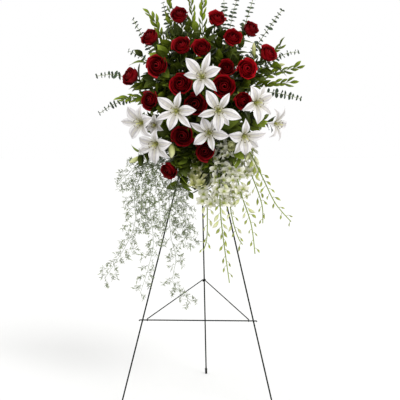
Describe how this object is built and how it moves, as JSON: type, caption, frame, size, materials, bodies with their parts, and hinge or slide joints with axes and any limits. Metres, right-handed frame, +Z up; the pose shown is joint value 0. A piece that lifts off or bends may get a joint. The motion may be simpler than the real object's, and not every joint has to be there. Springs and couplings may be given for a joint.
{
  "type": "standing funeral spray",
  "caption": "Fan of cut roses, lilies, leafy stems and trailing orchids and fern in wet foam, held upright on a three-legged wire easel.",
  "frame": {"origin": "on the floor, at the middle of the arrangement's own footprint (the middle of its bounding box seen from above)", "axes": "+Z up; -Y is the front, the side that the blooms face; +X is to the right of a person who looks at the front"},
  "size_m": [0.8346, 0.6691, 1.6438],
  "materials": {
    "painted_wire": "thin satin dark green paint on steel wire",
    "black_rubber": "matt black rubber",
    "tray_plastic": "dull dark green moulded plastic",
    "wet_foam": "matt green floral foam, soaked with water",
    "red_petal": "velvety deep crimson rose petals",
    "white_petal": "waxy white lily petals with a green-yellow throat",
    "orchid": "white orchid florets, yellow-green buds and stalks",
    "dark_leaf": "glossy dark green leaves and stems",
    "grey_leaf": "matt grey-green eucalyptus leaves",
    "bright_leaf": "glossy mid-green pointed leaves",
    "fern": "soft pale grey-green fern"
  },
  "bodies": {
    "root": {"brace_left": "painted_wire", "brace_right": "painted_wire", "crossbar": "painted_wire", "eucalyptus_left": "grey_leaf", "eucalyptus_right": "grey_leaf", "fern_left": "fern", "fern_middle": "fern", "fern_right": "fern", "foam_block": "wet_foam", "foam_tray": "tray_plastic", "leg_front_left": "painted_wire", "leg_front_right": "painted_wire", "leg_rear": "painted_wire", "lily_1": "white_petal", "lily_10": "white_petal", "lily_2": "white_petal", "lily_3": "white_petal", "lily_4": "white_petal", "lily_5": "white_petal", "lily_6": "white_petal", "lily_7": "white_petal", "lily_8": "white_petal", "lily_9": "white_petal", "orchid_1": "orchid", "orchid_2": "orchid", "orchid_3": "orchid", "orchid_4": "orchid", "orchid_5": "orchid", "orchid_6": "orchid", "rose_01": "red_petal", "rose_02": "red_petal", "rose_03": "red_petal", "rose_04": "red_petal", "rose_05": "red_petal", "rose_06": "red_petal", "rose_07": "red_petal", "rose_08": "red_petal", "rose_09": "red_petal", "rose_10": "red_petal", "rose_11": "red_petal", "rose_12": "red_petal", "rose_13": "red_petal", "rose_14": "red_petal", "rose_15": "red_petal", "rose_16": "red_petal", "rose_17": "red_petal", "rose_18": "red_petal", "rose_19": "red_petal", "rose_20": "red_petal", "ruscus_left": "bright_leaf", "ruscus_right": "bright_leaf", "stems_left": "dark_leaf", "stems_low": "dark_leaf", "stems_right": "dark_leaf", "tip_front_left": "black_rubber", "tip_front_right": "black_rubber", "tip_rear": "black_rubber", "top_pin": "painted_wire"}
  },
  "joints": []
}
